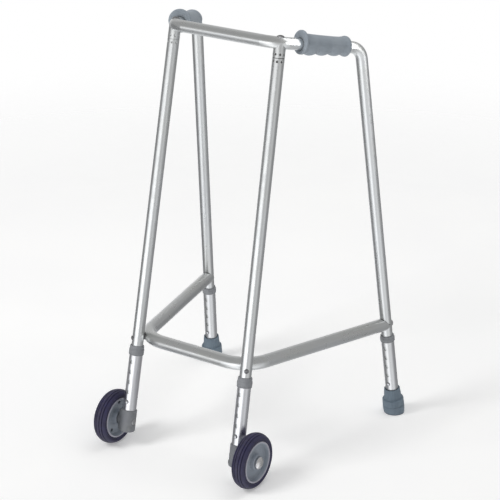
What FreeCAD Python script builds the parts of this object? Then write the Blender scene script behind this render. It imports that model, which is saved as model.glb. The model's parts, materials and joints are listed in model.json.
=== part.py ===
import FreeCAD, Part
import math
import os

# Walking frame with two front wheels and two rear feet, all four legs telescoping.
# The floor is z = 0, the user faces -Y and +X is the user's left. Left pieces are modelled and
# mirrored in X. Everything is moved by Y_SHIFT when written, which puts the origin under the
# middle of the bounding box. Millimetres.

Vec = FreeCAD.Vector
ORIGIN = Vec(0, 0, 0)
LEFT = Vec(1, 0, 0)
FRONT = Vec(0, -1, 0)
UP = Vec(0, 0, 1)

# ---------------------------------------------------------------- driving dimensions
Y_SHIFT = 88.3065

TUBE_R = 22.2 / 2         # frame tube
TUBE_IR = TUBE_R - 1.6
BRACE_R = 25.4 / 2        # brace tube
BRACE_IR = BRACE_R - 1.4
EXT_R = 25.4 / 2          # telescoping extension tube
EXT_IR = EXT_R - 1.2

FRONT_BEND_R = 38.0       # centre-line bend radius, cross bar into rail
REAR_BEND_R = 30.0        # rail into rear leg
BRACE_BEND_R = 62.0

BAR_CORNER = Vec(112.0, -133.0, 805.0)     # bend corner of the cross bar
RAIL_CORNER = Vec(184.2, 41.0, 766.5)      # bend corner at the back of a hand rail
REAR_FOOT = Vec(223.4, 134.0, 0)           # leg axes on the floor
FRONT_FOOT = Vec(128.0, -289.0, 0)
LEG_ON_BEND = 0.72        # share of the front bend at which the front leg's axis meets it

BRACE_Z_FRONT = 216.8
BRACE_Z_REAR = 198.0
SADDLE_T = 1.6            # saddle between a brace end and the rear leg
BRACE_GAP = 0.9           # gap between a front leg and the brace bend

FIT = 0.02                # gap between faces that are pressed or seated together
REACH = 20.0              # length of the hole cutters on each side of a tube's axis

BOLT_R = 3.0
BOLT_HOLE_R = 3.2
BOLT_HEAD_R = 6.0
BOLT_WASHER_R = 7.0
TOP_HEAD_SEAT = 11.7      # underside of the bolt head from the tube's axis
REAR_HEAD_SEAT = 12.5
RIVET_NUT_R = 4.6

HOLE_PITCH = 20.0         # adjuster holes
HOLE_COUNT = 5
EXT_HOLE_R = 4.0
INNER_HOLE_R = 3.8
BUTTON_R = 3.55
FRONT_BUTTON_Z = 92.5
REAR_BUTTON_Z = 69.0
FRONT_INNER_END_Z = 76.0  # lower ends of the frame tubes
REAR_INNER_END_Z = 51.0
FRONT_EXT_END_Z = 37.0    # lower ends of the extensions
REAR_EXT_END_Z = 9.0

WHEEL_R = 53.5
WHEEL_HALF_W = 14.0
WHEEL_MID_X = 160.7
AXLE_R = 5.0
THREAD_R = 4.0            # threaded end of the axle


# ---------------------------------------------------------------- helpers
def unit(vector):
    result = Vec(vector)
    result.normalize()
    return result


def square_to(direction, axis):
    """unit direction, with its part along the unit axis taken out"""
    return unit(direction - axis * direction.dot(axis))


def at_z(start, end, z):
    return start + (end - start) * ((z - start.z) / (end.z - start.z))


def on_side(vector, side):
    """left vector as it is for side 1, mirrored for side -1"""
    return Vec(side * vector.x, vector.y, vector.z)


def rod(start, end, radius):
    return Part.makeCylinder(radius, (end - start).Length, start, unit(end - start))


def cone(start, end, radius0, radius1):
    return Part.makeCone(radius0, radius1, (end - start).Length, start, unit(end - start))


def ring(start, end, outer, inner):
    along = unit(end - start)
    return rod(start, end, outer).cut(rod(start - along, end + along, inner))


def disc(radius, height, z=0.0):
    """cylinder about Z"""
    return Part.makeCylinder(radius, height, Vec(0, 0, z))


def ring_z(z0, z1, outer, inner):
    return ring(Vec(0, 0, z0), Vec(0, 0, z1), outer, inner)


def raised(shape, z):
    return shape.translated(Vec(0, 0, z))


def hexagon(across, height):
    radius = across / math.sqrt(3)
    angles = [math.radians(60 * i) for i in range(7)]
    points = [Vec(radius * math.cos(a), radius * math.sin(a), 0) for a in angles]
    return Part.Face(Part.makePolygon(points)).extrude(Vec(0, 0, height))


def dome(radius, height):
    """spherical cap standing on z = 0"""
    ball_r = (radius * radius + height * height) / (2.0 * height)
    ball = Part.makeSphere(ball_r, Vec(0, 0, height - ball_r))
    corner = Vec(-2 * ball_r, -2 * ball_r, 0)
    return ball.common(Part.makeBox(4 * ball_r, 4 * ball_r, height + 1, corner))


def lathe(profile):
    """closed (radius, z) profile turned about Z"""
    points = [Vec(radius, 0, z) for radius, z in profile]
    points.append(points[0])
    return Part.Face(Part.makePolygon(points)).revolve(ORIGIN, UP, 360)


def place(shape, origin, z_axis, x_hint):
    """put a shape drawn about the origin onto a frame: z along z_axis, x towards x_hint"""
    z = unit(z_axis)
    x = square_to(x_hint, z)
    y = z.cross(x)
    matrix = FreeCAD.Matrix(
        x.x, y.x, z.x, origin.x,
        x.y, y.y, z.y, origin.y,
        x.z, y.z, z.z, origin.z,
        0, 0, 0, 1,
    )
    result = shape.copy()
    result.Placement = FreeCAD.Placement(matrix).multiply(result.Placement)
    return result


def mirror(shape):
    return shape.mirror(ORIGIN, LEFT)


def both_sides(shape):
    return Part.makeCompound([shape, mirror(shape)])


def fused(shapes):
    return shapes[0].multiFuse(shapes[1:])


def largest(shape):
    return max(shape.Solids, key=lambda solid: solid.Volume)


def one(shape):
    """merge split faces and unwrap a compound of one solid"""
    result = shape.removeSplitter()
    if result.ShapeType == "Compound" and len(result.Solids) == 1:
        result = result.Solids[0]
    return result


def bends(points, radii):
    """straight runs and arcs of a centre line with rounded corners"""
    runs, arcs = [], []
    run_start = points[0]
    for before, corner, after, radius in zip(points, points[1:], points[2:], radii):
        dir_in = unit(corner - before)
        dir_out = unit(after - corner)
        turn = dir_in.getAngle(dir_out)
        setback = radius * math.tan(turn / 2.0)
        arc_start = corner - dir_in * setback
        axis = unit(dir_in.cross(dir_out))
        centre = arc_start + axis.cross(dir_in) * radius
        runs.append((run_start, arc_start))
        arcs.append((arc_start, dir_in, centre, axis, math.degrees(turn)))
        run_start = corner + dir_out * setback
    runs.append((run_start, points[-1]))
    return runs, arcs


def sweep(points, radii, radius, extend=0.0):
    """round bar along a bent centre line, lengthened at both ends by extend"""
    runs, arcs = bends(points, radii)
    solids = []
    for i, (start, end) in enumerate(runs):
        along = unit(end - start)
        if i == 0:
            start = start - along * extend
        if i == len(runs) - 1:
            end = end + along * extend
        solids.append(rod(start, end, radius))
    for start, along, centre, axis, degrees in arcs:
        face = Part.Face(Part.Wire([Part.makeCircle(radius, start, along)]))
        solids.append(face.revolve(centre, axis, degrees))
    return fused(solids).removeSplitter()


# ---------------------------------------------------------------- centre lines, left side
def on_rear(z):
    """point on the rear leg's axis"""
    return at_z(RAIL_CORNER, REAR_FOOT, z)


def on_front(z):
    """point on the front leg's axis"""
    return at_z(leg_top, FRONT_FOOT, z)


def rear_rod(radius):
    return rod(REAR_FOOT, RAIL_CORNER, radius)


def front_rod(radius):
    return rod(FRONT_FOOT, leg_top, radius)


rail_dir = unit(RAIL_CORNER - BAR_CORNER)     # backwards along the rail
rear_dir = unit(RAIL_CORNER - REAR_FOOT)      # up the rear leg
rear_half = [BAR_CORNER, RAIL_CORNER, on_rear(REAR_INNER_END_Z)]
top_path = [on_side(point, -1) for point in reversed(rear_half)] + rear_half
top_radii = [REAR_BEND_R, FRONT_BEND_R, FRONT_BEND_R, REAR_BEND_R]

# the front leg's axis meets the top tube part of the way round the left front bend
arc_start, _, arc_centre, arc_axis, arc_degrees = bends(top_path, top_radii)[1][2]
arc_turn = FreeCAD.Rotation(arc_axis, arc_degrees * LEG_ON_BEND)
leg_top = arc_centre + arc_turn.multVec(arc_start - arc_centre)
front_dir = unit(leg_top - FRONT_FOOT)        # up the front leg

brace_rear = on_rear(BRACE_Z_REAR)
leg_at_brace = on_front(BRACE_Z_FRONT)
leg_to_leg = unit(brace_rear - leg_at_brace)
# level direction from the front leg to the brace bend, along which the bolt runs
inward = unit(Vec(-1, 0, 0) + Vec(leg_to_leg.x, leg_to_leg.y, 0))
# the middle of the bend stands off from its corner, so the corner sits nearer the leg
half_corner = (math.pi - Vec(-1, 0, 0).getAngle(leg_to_leg)) / 2.0
bend_rise = BRACE_BEND_R * (1.0 / math.cos(half_corner) - 1.0)
brace_corner = leg_at_brace + inward * (TUBE_R + BRACE_R + BRACE_GAP - bend_rise)
brace_path = [on_side(brace_rear, -1), on_side(brace_corner, -1), brace_corner, brace_rear]
brace_radii = [BRACE_BEND_R, BRACE_BEND_R]
brace_side = unit(brace_rear - brace_corner)  # outwards along the brace's side run

# a slightly fatter top tube shapes everything that seats under it
top_seat = sweep(top_path, top_radii, TUBE_R + FIT)


# ---------------------------------------------------------------- frame tubes
def top_tube():
    """cross bar, hand rails and rear legs"""
    tube = sweep(top_path, top_radii, TUBE_R)
    tube = tube.cut(sweep(top_path, top_radii, TUBE_IR, extend=2.0))
    cutters = []
    for side in (1, -1):
        for point, along in ((leg_top, front_dir), (brace_rear, brace_side)):
            centre = on_side(point, side)
            half = on_side(along, side) * REACH
            cutters.append(rod(centre - half, centre + half, BOLT_HOLE_R))
        button = on_side(on_rear(REAR_BUTTON_Z), side)
        forward = square_to(FRONT, on_side(rear_dir, side))
        cutters.append(rod(button, button + forward * REACH, INNER_HOLE_R))
    return one(tube.cut(fused(cutters)))


def front_leg():
    dimple_r = 2.65
    dimple_standoff = 1.35        # dimple centre outside the tube's surface
    dimple_rings = ((20.0, 0.0), (32.8, 22.5))     # (distance below leg_top, turn in degrees)
    groove_drop = 26.6
    groove_half_w = 0.7
    groove_depth = 0.45

    forward = square_to(FRONT, front_dir)
    leg = ring(on_front(FRONT_INNER_END_Z), leg_top, TUBE_R, TUBE_IR)
    leg = largest(leg.cut(top_seat))
    # two rings of dimples round the plug, with a shallow groove between them
    dimples = []
    for drop, turn in dimple_rings:
        for i in range(8):
            angle = math.radians(45 * i + turn)
            side = forward * math.cos(angle) + front_dir.cross(forward) * math.sin(angle)
            centre = leg_top - front_dir * drop + side * (TUBE_R + dimple_standoff)
            dimples.append(Part.makeSphere(dimple_r, centre))
    middle = leg_top - front_dir * groove_drop
    half = front_dir * groove_half_w
    groove = ring(middle - half, middle + half, TUBE_R + 1, TUBE_R - groove_depth)
    leg = leg.cut(fused(dimples)).cut(groove)
    # snap button hole, then the holes for the bolt into the brace
    button = on_front(FRONT_BUTTON_Z)
    leg = leg.cut(rod(button, button + forward * REACH, INNER_HOLE_R))
    half = inward * REACH
    return one(leg.cut(rod(leg_at_brace - half, leg_at_brace + half, BOLT_HOLE_R)))


def leg_top_plug():
    """plug in the top of the leg, shaped to the underside of the top tube"""
    length = 44
    bore_depth = 36
    plug = rod(leg_top - front_dir * length, leg_top, TUBE_IR - FIT).cut(top_seat)
    bore = rod(leg_top - front_dir * bore_depth, leg_top + front_dir, BOLT_R + FIT)
    return one(largest(plug).cut(bore))


def domed_bolt(tip, shank_end, seat, rim_t, dome_h):
    """shank from z = tip to shank_end; the head stands on z = seat"""
    bolt = disc(BOLT_R, shank_end - tip, tip).fuse(disc(BOLT_HEAD_R, rim_t, seat))
    return bolt.fuse(raised(dome(BOLT_HEAD_R, dome_h), seat + rim_t))


def bolt_washer(seat):
    """uncut washer under a bolt head at z = seat"""
    return ring_z(6.0, seat - FIT, BOLT_WASHER_R, BOLT_HOLE_R)


def top_bolt():
    bolt = domed_bolt(tip=-34, shank_end=12.0, seat=TOP_HEAD_SEAT, rim_t=0.6, dome_h=1.7)
    socket = raised(hexagon(4.0, 3.0), TOP_HEAD_SEAT + 0.9)
    return place(one(bolt.cut(socket)), leg_top, front_dir, FRONT)


def top_bolt_washers():
    washer = place(bolt_washer(TOP_HEAD_SEAT), leg_top, front_dir, FRONT)
    return both_sides(largest(washer.cut(top_seat)))


# ---------------------------------------------------------------- brace
def brace_tube():
    nut_hole_depth = 24           # from the leg's axis, ends inside the brace's bore
    brace = sweep(brace_path, brace_radii, BRACE_R)
    brace = brace.cut(sweep(brace_path, brace_radii, BRACE_IR, extend=2.0))
    for side in (1, -1):
        foot = on_side(REAR_FOOT, side)
        brace = brace.cut(rod(foot, on_side(RAIL_CORNER, side), TUBE_R + SADDLE_T))
        brace = largest(brace)
        start = on_side(leg_at_brace, side)
        end = start + on_side(inward, side) * nut_hole_depth
        brace = brace.cut(rod(start, end, RIVET_NUT_R + FIT))
    return one(brace)


def brace_saddles():
    """thin saddles between the brace ends and the rear legs"""
    saddle = ring(brace_rear - brace_side * 24, brace_rear, BRACE_R - 1.2, BOLT_HOLE_R)
    saddle = saddle.common(rear_rod(TUBE_R + SADDLE_T - FIT)).cut(rear_rod(TUBE_R + FIT))
    return both_sides(largest(saddle))


def along_front_bolt(solid):
    """distance of a solid's centre from the front leg's axis, along the bolt"""
    return (solid.CenterOfMass - leg_at_brace).dot(inward)


def on_front_bolt(shape):
    return place(shape, leg_at_brace, inward, UP)


def brace_spacers():
    """shaped spacers between each front leg and the brace bend"""
    brace_seat = sweep(brace_path, brace_radii, BRACE_R + FIT)
    spacer = ring(leg_at_brace + inward * 2, leg_at_brace + inward * 22, 6.0, BOLT_HOLE_R)
    spacer = spacer.cut(front_rod(TUBE_R + FIT)).cut(brace_seat)
    # the piece in the gap, not the one beyond the brace's near side
    in_gap = min(spacer.Solids, key=lambda s: abs(along_front_bolt(s) - TUBE_R - 0.8))
    return both_sides(in_gap)


def brace_front_bolt():
    """bolt through the front leg, with its head on the side away from the brace"""
    head_r = 4.5
    rim_z = -12.0
    shank_z = -12.4
    cap = place(dome(head_r, 1.7), Vec(0, 0, rim_z), Vec(0, 0, -1), LEFT)
    head = disc(head_r, 6.0, rim_z).fuse(cap)
    head = on_front_bolt(one(head)).cut(front_rod(TUBE_R + FIT))
    head = min(head.Solids, key=along_front_bolt)
    shank = disc(BOLT_R, TUBE_R + BRACE_GAP + 12.5 - shank_z, shank_z)
    bolt = on_front_bolt(shank).fuse(head)
    return one(bolt.cut(on_front_bolt(raised(hexagon(4.4, 1.8), -14.0))))


def brace_front_nuts():
    """rivet nuts in the near wall of the brace"""
    near_face = TUBE_R + BRACE_GAP
    nut = disc(RIVET_NUT_R, 13.0, near_face + 1.0).fuse(disc(6.2, 2.0, near_face + 3.8))
    return both_sides(on_front_bolt(one(nut).cut(disc(BOLT_R + FIT, 40))))


def brace_end_plug():
    """plug in the coped end of the brace"""
    length = 46
    bore_depth = 38
    plug = rod(brace_rear - brace_side * length, brace_rear, BRACE_IR - FIT)
    plug = largest(plug.cut(rear_rod(TUBE_R + SADDLE_T)))
    bore = rod(brace_rear - brace_side * bore_depth, brace_rear + brace_side, BOLT_R + FIT)
    return one(plug.cut(bore))


def brace_rear_bolt():
    """bolt through the rear leg, with its head on the outer side"""
    bolt = domed_bolt(tip=-36, shank_end=REAR_HEAD_SEAT, seat=REAR_HEAD_SEAT,
                      rim_t=1.0, dome_h=2.8)
    return place(one(bolt), brace_rear, brace_side, UP)


def brace_rear_washers():
    washer = place(bolt_washer(REAR_HEAD_SEAT), brace_rear, brace_side, UP)
    washer = washer.cut(rear_rod(TUBE_R + FIT))
    outer = max(washer.Solids, key=lambda s: (s.CenterOfMass - brace_rear).dot(brace_side))
    return both_sides(outer)


# ---------------------------------------------------------------- hand grips
GRIP_START = 54.5         # along the rail from the front bend corner
GRIP_LEN = 104.0
GRIP_R = 18.4
GRIP_FLANGE_R = 21.9
GRIP_FLANGE_T = 4.6
GRIP_FLANGE_RISE = 3.6    # flange centre above the rail's axis
SCALLOP_START = 8.0
SCALLOP_PITCH = 27.3
SCALLOP_R = 12.0
SCALLOP_DROP = 9.2        # scallop axis below the grip's surface

# (radius, distance along the rail)
GRIP_PROFILE = [
    (TUBE_R - 1.0, 0.0), (GRIP_R + 1.3, 0.0), (GRIP_R + 1.3, 6.0), (GRIP_R + 1.0, 22.0),
    (GRIP_R + 0.1, 45.0), (GRIP_R - 0.6, 75.0), (GRIP_R - 0.5, 89.0), (GRIP_R + 0.4, 94.5),
    (GRIP_R + 1.7, 98.0), (GRIP_R + 1.8, 100.2), (GRIP_R + 1.1, 102.2),
    (GRIP_R - 0.8, GRIP_LEN), (TUBE_R - 1.0, GRIP_LEN),
]


def hand_grip():
    """drawn along +Z with the underside towards -X, then laid on the rail"""
    grip = lathe(GRIP_PROFILE)
    for i in range(4):
        start = Vec(-GRIP_R - SCALLOP_DROP, -30, SCALLOP_START + SCALLOP_PITCH * i)
        grip = grip.cut(Part.makeCylinder(SCALLOP_R, 60, start, Vec(0, 1, 0)))
    flange = Part.makeCylinder(GRIP_FLANGE_R, GRIP_FLANGE_T, Vec(GRIP_FLANGE_RISE, 0, 0))
    flange = flange.makeFillet(1.8, [edge for edge in flange.Edges if edge.Length > 100])
    bore = disc(TUBE_R + FIT, GRIP_LEN + 2, -1)
    grip = one(grip.fuse(flange).cut(bore))
    return place(grip, BAR_CORNER + rail_dir * GRIP_START, rail_dir, UP)


# ---------------------------------------------------------------- telescoping legs
FRONT_COLLAR_Z = 183.5    # underside of the collar
REAR_COLLAR_Z = 162.0
FRONT_COLLAR_H = 19.0
REAR_COLLAR_H = 13.0
COLLAR_R = 14.3
COLLAR_TOP_T = 3.0
SLIDE = 0.05              # clearance of the collar on the inner tube


def extension(on_leg, leg_dir, end_z, button_z, collar_z, collar_h):
    top = on_leg(collar_z) + leg_dir * (collar_h - COLLAR_TOP_T - FIT)
    tube = ring(on_leg(end_z), top, EXT_R, EXT_IR)
    forward = square_to(FRONT, leg_dir)
    holes = []
    for i in range(HOLE_COUNT):
        start = on_leg(button_z) + leg_dir * HOLE_PITCH * i
        holes.append(rod(start, start + forward * REACH, EXT_HOLE_R))
    return one(tube.cut(fused(holes)))


def front_extension():
    tube = extension(on_front, front_dir, FRONT_EXT_END_Z, FRONT_BUTTON_Z,
                     FRONT_COLLAR_Z, FRONT_COLLAR_H)
    across = LEFT * REACH
    tube = one(tube.cut(rod(axle_at - across, axle_at + across, AXLE_R + 0.1)))
    return one(tube.cut(rivet_rod(RIVET_R + FIT)))


def rear_extension():
    return extension(on_rear, rear_dir, REAR_EXT_END_Z, REAR_BUTTON_Z,
                     REAR_COLLAR_Z, REAR_COLLAR_H)


def collar(origin, leg_dir, height):
    """skirt round the outer tube and a lip round the inner tube, with bevelled shoulders"""
    skirt_ir = EXT_R + FIT
    lip_ir = TUBE_R + SLIDE
    profile = [
        (skirt_ir, 0.0), (COLLAR_R - 0.4, 0.0), (COLLAR_R, 0.8), (COLLAR_R, height - 2.4),
        (COLLAR_R - 0.7, height - 0.8), (COLLAR_R - 1.9, height), (lip_ir + 0.5, height),
        (lip_ir, height - 0.5), (lip_ir, height - COLLAR_TOP_T),
        (skirt_ir, height - COLLAR_TOP_T),
    ]
    return place(lathe(profile), origin, leg_dir, FRONT)


def snap_clip(button_at, leg_dir):
    """hairpin of spring strip with a domed button at the front"""
    width = 6.0
    strip_t = 0.8
    outer_r = 8.4
    arch_z = 26.0
    side = Vec(0, 1, 0)
    inner_x = outer_r - strip_t
    button_end = EXT_R + 1.2

    arch = Part.makeCylinder(outer_r, width, Vec(0, -width / 2, arch_z), side)
    hollow = Part.makeCylinder(inner_x, width + 2, Vec(0, -width / 2 - 1, arch_z), side)
    upper_half = Part.makeBox(4 * outer_r, 4 * width, 2 * outer_r,
                              Vec(-2 * outer_r, -2 * width, arch_z))
    arch = arch.cut(hollow).common(upper_half)
    front = Part.makeBox(strip_t, width, arch_z + 6.0, Vec(inner_x, -width / 2, -6.0))
    back = Part.makeBox(strip_t, width, arch_z + 2.0, Vec(-outer_r, -width / 2, -2.0))
    button = Part.makeCylinder(BUTTON_R, button_end - inner_x, Vec(inner_x, 0, 0), LEFT)
    cap = place(dome(BUTTON_R, 1.6), Vec(button_end, 0, 0), LEFT, UP)
    clip = arch.multiFuse([front, back, button, cap])
    return place(one(clip), button_at, leg_dir, FRONT)


# ---------------------------------------------------------------- rear ferrules
FERRULE_SEAT = REAR_EXT_END_Z + 0.05 - 2.5    # floor of the ferrule's socket
# (radius, distance up the leg); it starts below the floor, where it is cut off
FERRULE_PROFILE = [
    (0.0, -8.0), (20.3, -8.0), (20.6, 1.0), (21.5, 8.0), (21.6, 14.0), (21.3, 24.0),
    (20.9, 31.6), (20.2, 32.8), (17.7, 33.2), (17.3, 34.6), (15.7, 53.6), (15.3, 55.2),
    (14.2, 55.5), (EXT_R + FIT, 54.3), (EXT_R + FIT, FERRULE_SEAT), (0.0, FERRULE_SEAT),
]
SOLE_GROOVE_RADII = (9.0, 15.0)
SOLE_GROOVE_HALF_W = 0.9
SOLE_GROOVE_DEPTH = 1.6


def ferrule():
    x, y = REAR_FOOT.x, REAR_FOOT.y
    body = place(lathe(FERRULE_PROFILE), REAR_FOOT, rear_dir, FRONT)
    body = body.cut(Part.makeBox(200, 200, 50, Vec(x - 100, y - 100, -50)))
    # two ring grooves in the sole, centred on the leg
    for radius in SOLE_GROOVE_RADII:
        body = body.cut(ring(Vec(x, y, -1), Vec(x, y, SOLE_GROOVE_DEPTH),
                             radius + SOLE_GROOVE_HALF_W, radius - SOLE_GROOVE_HALF_W))
    # shallow groove round the base
    groove = place(ring_z(18.4, 19.6, 24, 21.3), REAR_FOOT, rear_dir, FRONT)
    return one(body.cut(groove))


def ferrule_disc():
    """pierced disc in the bottom of the ferrule's socket"""
    plate = ring_z(FERRULE_SEAT + FIT, REAR_EXT_END_Z - 0.5, EXT_R - 0.2, 3.0)
    return place(plate, REAR_FOOT, rear_dir, FRONT)


# ---------------------------------------------------------------- wheel bracket
BRACKET_TOP_Z = 76.0
BRACKET_BOTTOM_Z = 33.5
BRACKET_R = 14.7
BOSS_R = 10.0
BOSS_END_X = WHEEL_MID_X - 15.0
BLOCK_R = BRACKET_R - 0.9         # block where it leaves the socket
BLOCK_END_X = BOSS_END_X - 1.2    # flat outboard end of the block
BLOCK_END_HALF_W = 8.2
BLOCK_TAPER_R = 9.5               # end radius that sets where the block's sides start
# (height, inset of the outline)
BLOCK_LEVELS = [
    (BRACKET_BOTTOM_Z + 0.6, 2.2), (BRACKET_BOTTOM_Z + 3.4, 0.0),
    (BRACKET_TOP_Z - 2.2, 0.0), (BRACKET_TOP_Z - 0.6, 1.4),
]
AXLE_HEAD_R = 6.2
RIVET_R = 2.0
RIVET_HEAD_R = 4.2

axle_at = on_front(WHEEL_R)       # axle and front leg axes cross here
axle_head_x = axle_at.x - EXT_R - 0.15
socket_bottom = on_front(BRACKET_BOTTOM_Z)
socket_top = on_front(BRACKET_TOP_Z)
ext_bottom = on_front(FRONT_EXT_END_Z)
rivet_at = on_front(41.5)
rivet_dir = square_to(Vec(-0.75, -0.66, 0), front_dir)


def rivet_rod(radius):
    return rod(rivet_at, rivet_at + rivet_dir * 30, radius)


def on_axle(x):
    return Vec(x, axle_at.y, axle_at.z)


def block_wire(centre, inset):
    """level outline of the block round a point on the leg's axis"""
    turn = math.acos((BLOCK_R - BLOCK_TAPER_R) / (BLOCK_END_X - axle_at.x))
    side_x = centre.x + BLOCK_R * math.cos(turn)
    side_half = BLOCK_R * math.sin(turn) - inset
    end_x = BLOCK_END_X - inset
    end_half = BLOCK_END_HALF_W - inset
    points = [
        Vec(side_x, centre.y - side_half, centre.z),
        Vec(end_x, centre.y - end_half, centre.z),
        Vec(end_x, centre.y + end_half, centre.z),
        Vec(side_x, centre.y + side_half, centre.z),
        Vec(centre),
    ]
    return Part.makePolygon(points + [points[0]])


def wheel_bracket():
    """socket round the leg with a block and a boss that reach out to the wheel"""
    bevel_start = socket_bottom + front_dir * 2.0
    bevel_end = socket_top - front_dir * 1.2
    body = cone(socket_bottom, bevel_start, BRACKET_R - 2.0, BRACKET_R)
    body = body.fuse(rod(bevel_start, bevel_end, BRACKET_R))
    body = body.fuse(cone(bevel_end, socket_top, BRACKET_R, BRACKET_R - 0.8))
    wires = [block_wire(on_front(z), inset) for z, inset in BLOCK_LEVELS]
    block = Part.makeLoft(wires, True, True)
    boss = rod(axle_at, on_axle(BOSS_END_X), BOSS_R)
    body = body.fuse(block).fuse(boss)
    body = body.cut(rod(ext_bottom, socket_top + front_dir * 5, EXT_R + FIT))
    inboard = on_axle(axle_at.x - 30)
    body = body.cut(rod(inboard, on_axle(BOSS_END_X + 5), AXLE_R + FIT))
    # counterbore for the axle's flat head
    body = body.cut(rod(inboard, on_axle(axle_head_x), AXLE_HEAD_R + 0.2))
    return one(body.cut(rivet_rod(RIVET_R + FIT)))


def bracket_rivet():
    """small rivet through the socket and the tube wall, each end trimmed to its seat"""
    blank = disc(RIVET_R, 5.2, 10.4)
    blank = blank.fuse(raised(dome(RIVET_HEAD_R, 1.0), BRACKET_R + 0.25))
    blank = blank.fuse(disc(RIVET_HEAD_R, 0.7, BRACKET_R - 0.4)).fuse(disc(3.0, 1.0, 9.6))
    blank = place(one(blank), rivet_at, rivet_dir, front_dir)
    shank = blank.common(rivet_rod(RIVET_R))
    head = blank.cut(rod(socket_bottom, socket_top, BRACKET_R + FIT))
    tail = blank.common(rod(ext_bottom, socket_top, EXT_IR - FIT))
    return one(shank.multiFuse(head.Solids + tail.Solids))


# ---------------------------------------------------------------- axle, drawn along +Z
INNER_WASHER_T = 1.5
OUTER_WASHER_T = 1.2
HUB_PLAY = 0.3            # end play on each side of the hub bush
RUNNING = 0.05            # radial clearance of the bush on the axle
BUSH_IN_X = BOSS_END_X + INNER_WASHER_T + HUB_PLAY
BUSH_OUT_X = WHEEL_MID_X + 13.4
SHOULDER_X = BUSH_OUT_X + HUB_PLAY
NUT_X = SHOULDER_X + OUTER_WASHER_T


def along_x(shape, x):
    """turn a shape drawn along +Z to +X on the axle's line, with its z = 0 at x"""
    return place(shape, on_axle(x), LEFT, UP)


def wheel_axle():
    axle = disc(AXLE_R, SHOULDER_X - axle_head_x)
    axle = axle.fuse(disc(THREAD_R, NUT_X + 4.5 - axle_head_x))
    axle = axle.fuse(Part.makeCone(AXLE_HEAD_R - 0.6, AXLE_HEAD_R, 0.5, Vec(0, 0, -1.6)))
    axle = axle.fuse(disc(AXLE_HEAD_R, 1.1, -1.1))
    return along_x(one(axle), axle_head_x)


def axle_washers():
    inner = ring_z(0, INNER_WASHER_T, 9.0, AXLE_R + FIT)
    outer = ring_z(0, OUTER_WASHER_T, 11.2, THREAD_R + FIT)
    return Part.makeCompound([along_x(inner, BOSS_END_X + FIT),
                              along_x(outer, SHOULDER_X + FIT)])


def axle_nut():
    nut = hexagon(13.0, 3.9).cut(disc(THREAD_R + FIT, 12, -2))
    return along_x(nut, NUT_X + 2 * FIT)


def axle_cap():
    """hollow domed cap over the nut"""
    radius = 11.7
    wall = 1.0
    skirt_h = 2.0
    shell = disc(radius, skirt_h).fuse(raised(dome(radius, 5.2), skirt_h))
    hollow = disc(radius - wall, skirt_h).fuse(raised(dome(radius - wall, 4.4), skirt_h))
    return along_x(one(shell.cut(hollow)), NUT_X + 2 * FIT)


# ------------------------------------- wheel, drawn about Z with z = 0 at mid-width, outboard up
BUSH_R = 7.4
BUSH_IN = BUSH_IN_X - WHEEL_MID_X
BUSH_OUT = BUSH_OUT_X - WHEEL_MID_X
HUB_IN = BUSH_IN + 0.4
HUB_OUT = BUSH_OUT - 0.2
RIM_R = 39.5
RIDGE_R = RIM_R + 3.0     # raised middle of the rim, inside the tyre

# (radius, z)
HUB_PROFILE = [
    (BUSH_R + FIT, HUB_IN), (11.8, HUB_IN), (12.6, HUB_IN + 0.8), (14.2, -3.4), (16.0, -2.0),
    (31.0, -2.4), (33.6, -4.0), (35.4, -9.5), (36.4, -12.6), (37.0, -13.2),
    (RIM_R - 0.6, -13.2), (RIM_R, -12.6), (RIM_R, -9.0), (RIDGE_R, -7.0), (RIDGE_R, 7.0),
    (RIM_R, 9.0), (RIM_R, 12.8), (RIM_R - 0.6, 13.4), (RIM_R - 2.2, 13.4), (RIM_R - 2.9, 12.8),
    (35.8, 9.6), (34.4, 5.0), (32.4, 3.6), (24.0, 3.0), (17.0, 3.4), (14.8, 5.2),
    (13.6, HUB_OUT - 1.0), (12.8, HUB_OUT), (BUSH_R + FIT, HUB_OUT),
]
# outboard half of the tyre with its circumferential grooves, (radius, z)
R, W = WHEEL_R, WHEEL_HALF_W
TYRE_HALF = [
    (RIDGE_R + FIT, 0.0), (RIDGE_R + FIT, 7.0), (RIM_R + FIT, 9.0 + FIT), (RIM_R + FIT, 11.4),
    (RIM_R + 0.9, 12.6), (R - 11.2, W - 0.4), (R - 8.8, W - 0.1), (R - 6.4, W - 0.8),
    (R - 4.4, W - 2.0), (R - 2.6, W - 4.1), (R - 2.1, W - 5.4), (R - 3.3, W - 5.8),
    (R - 3.3, W - 6.8), (R - 1.1, W - 7.4), (R - 0.4, W - 9.8), (R - 0.25, W - 10.8),
    (R - 1.8, W - 11.1), (R - 1.8, W - 12.1), (R - 0.05, W - 12.4), (R, 0.0),
]


def hub_bush():
    return along_x(ring_z(BUSH_IN, BUSH_OUT, BUSH_R, AXLE_R + RUNNING), WHEEL_MID_X)


def wheel_hub():
    hub = lathe(HUB_PROFILE)
    # four round pockets in the inboard side, near the rim
    for i in range(4):
        pocket = Part.makeCylinder(3.3, 12, Vec(27.6, 0, -11.0))
        hub = hub.cut(pocket.rotated(ORIGIN, UP, 90 * i + 62.0))
    return along_x(one(hub), WHEEL_MID_X)


def tyre():
    inboard = [(radius, -z) for radius, z in reversed(TYRE_HALF[1:-1])]
    return along_x(one(lathe(TYRE_HALF + inboard)), WHEEL_MID_X)


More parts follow.
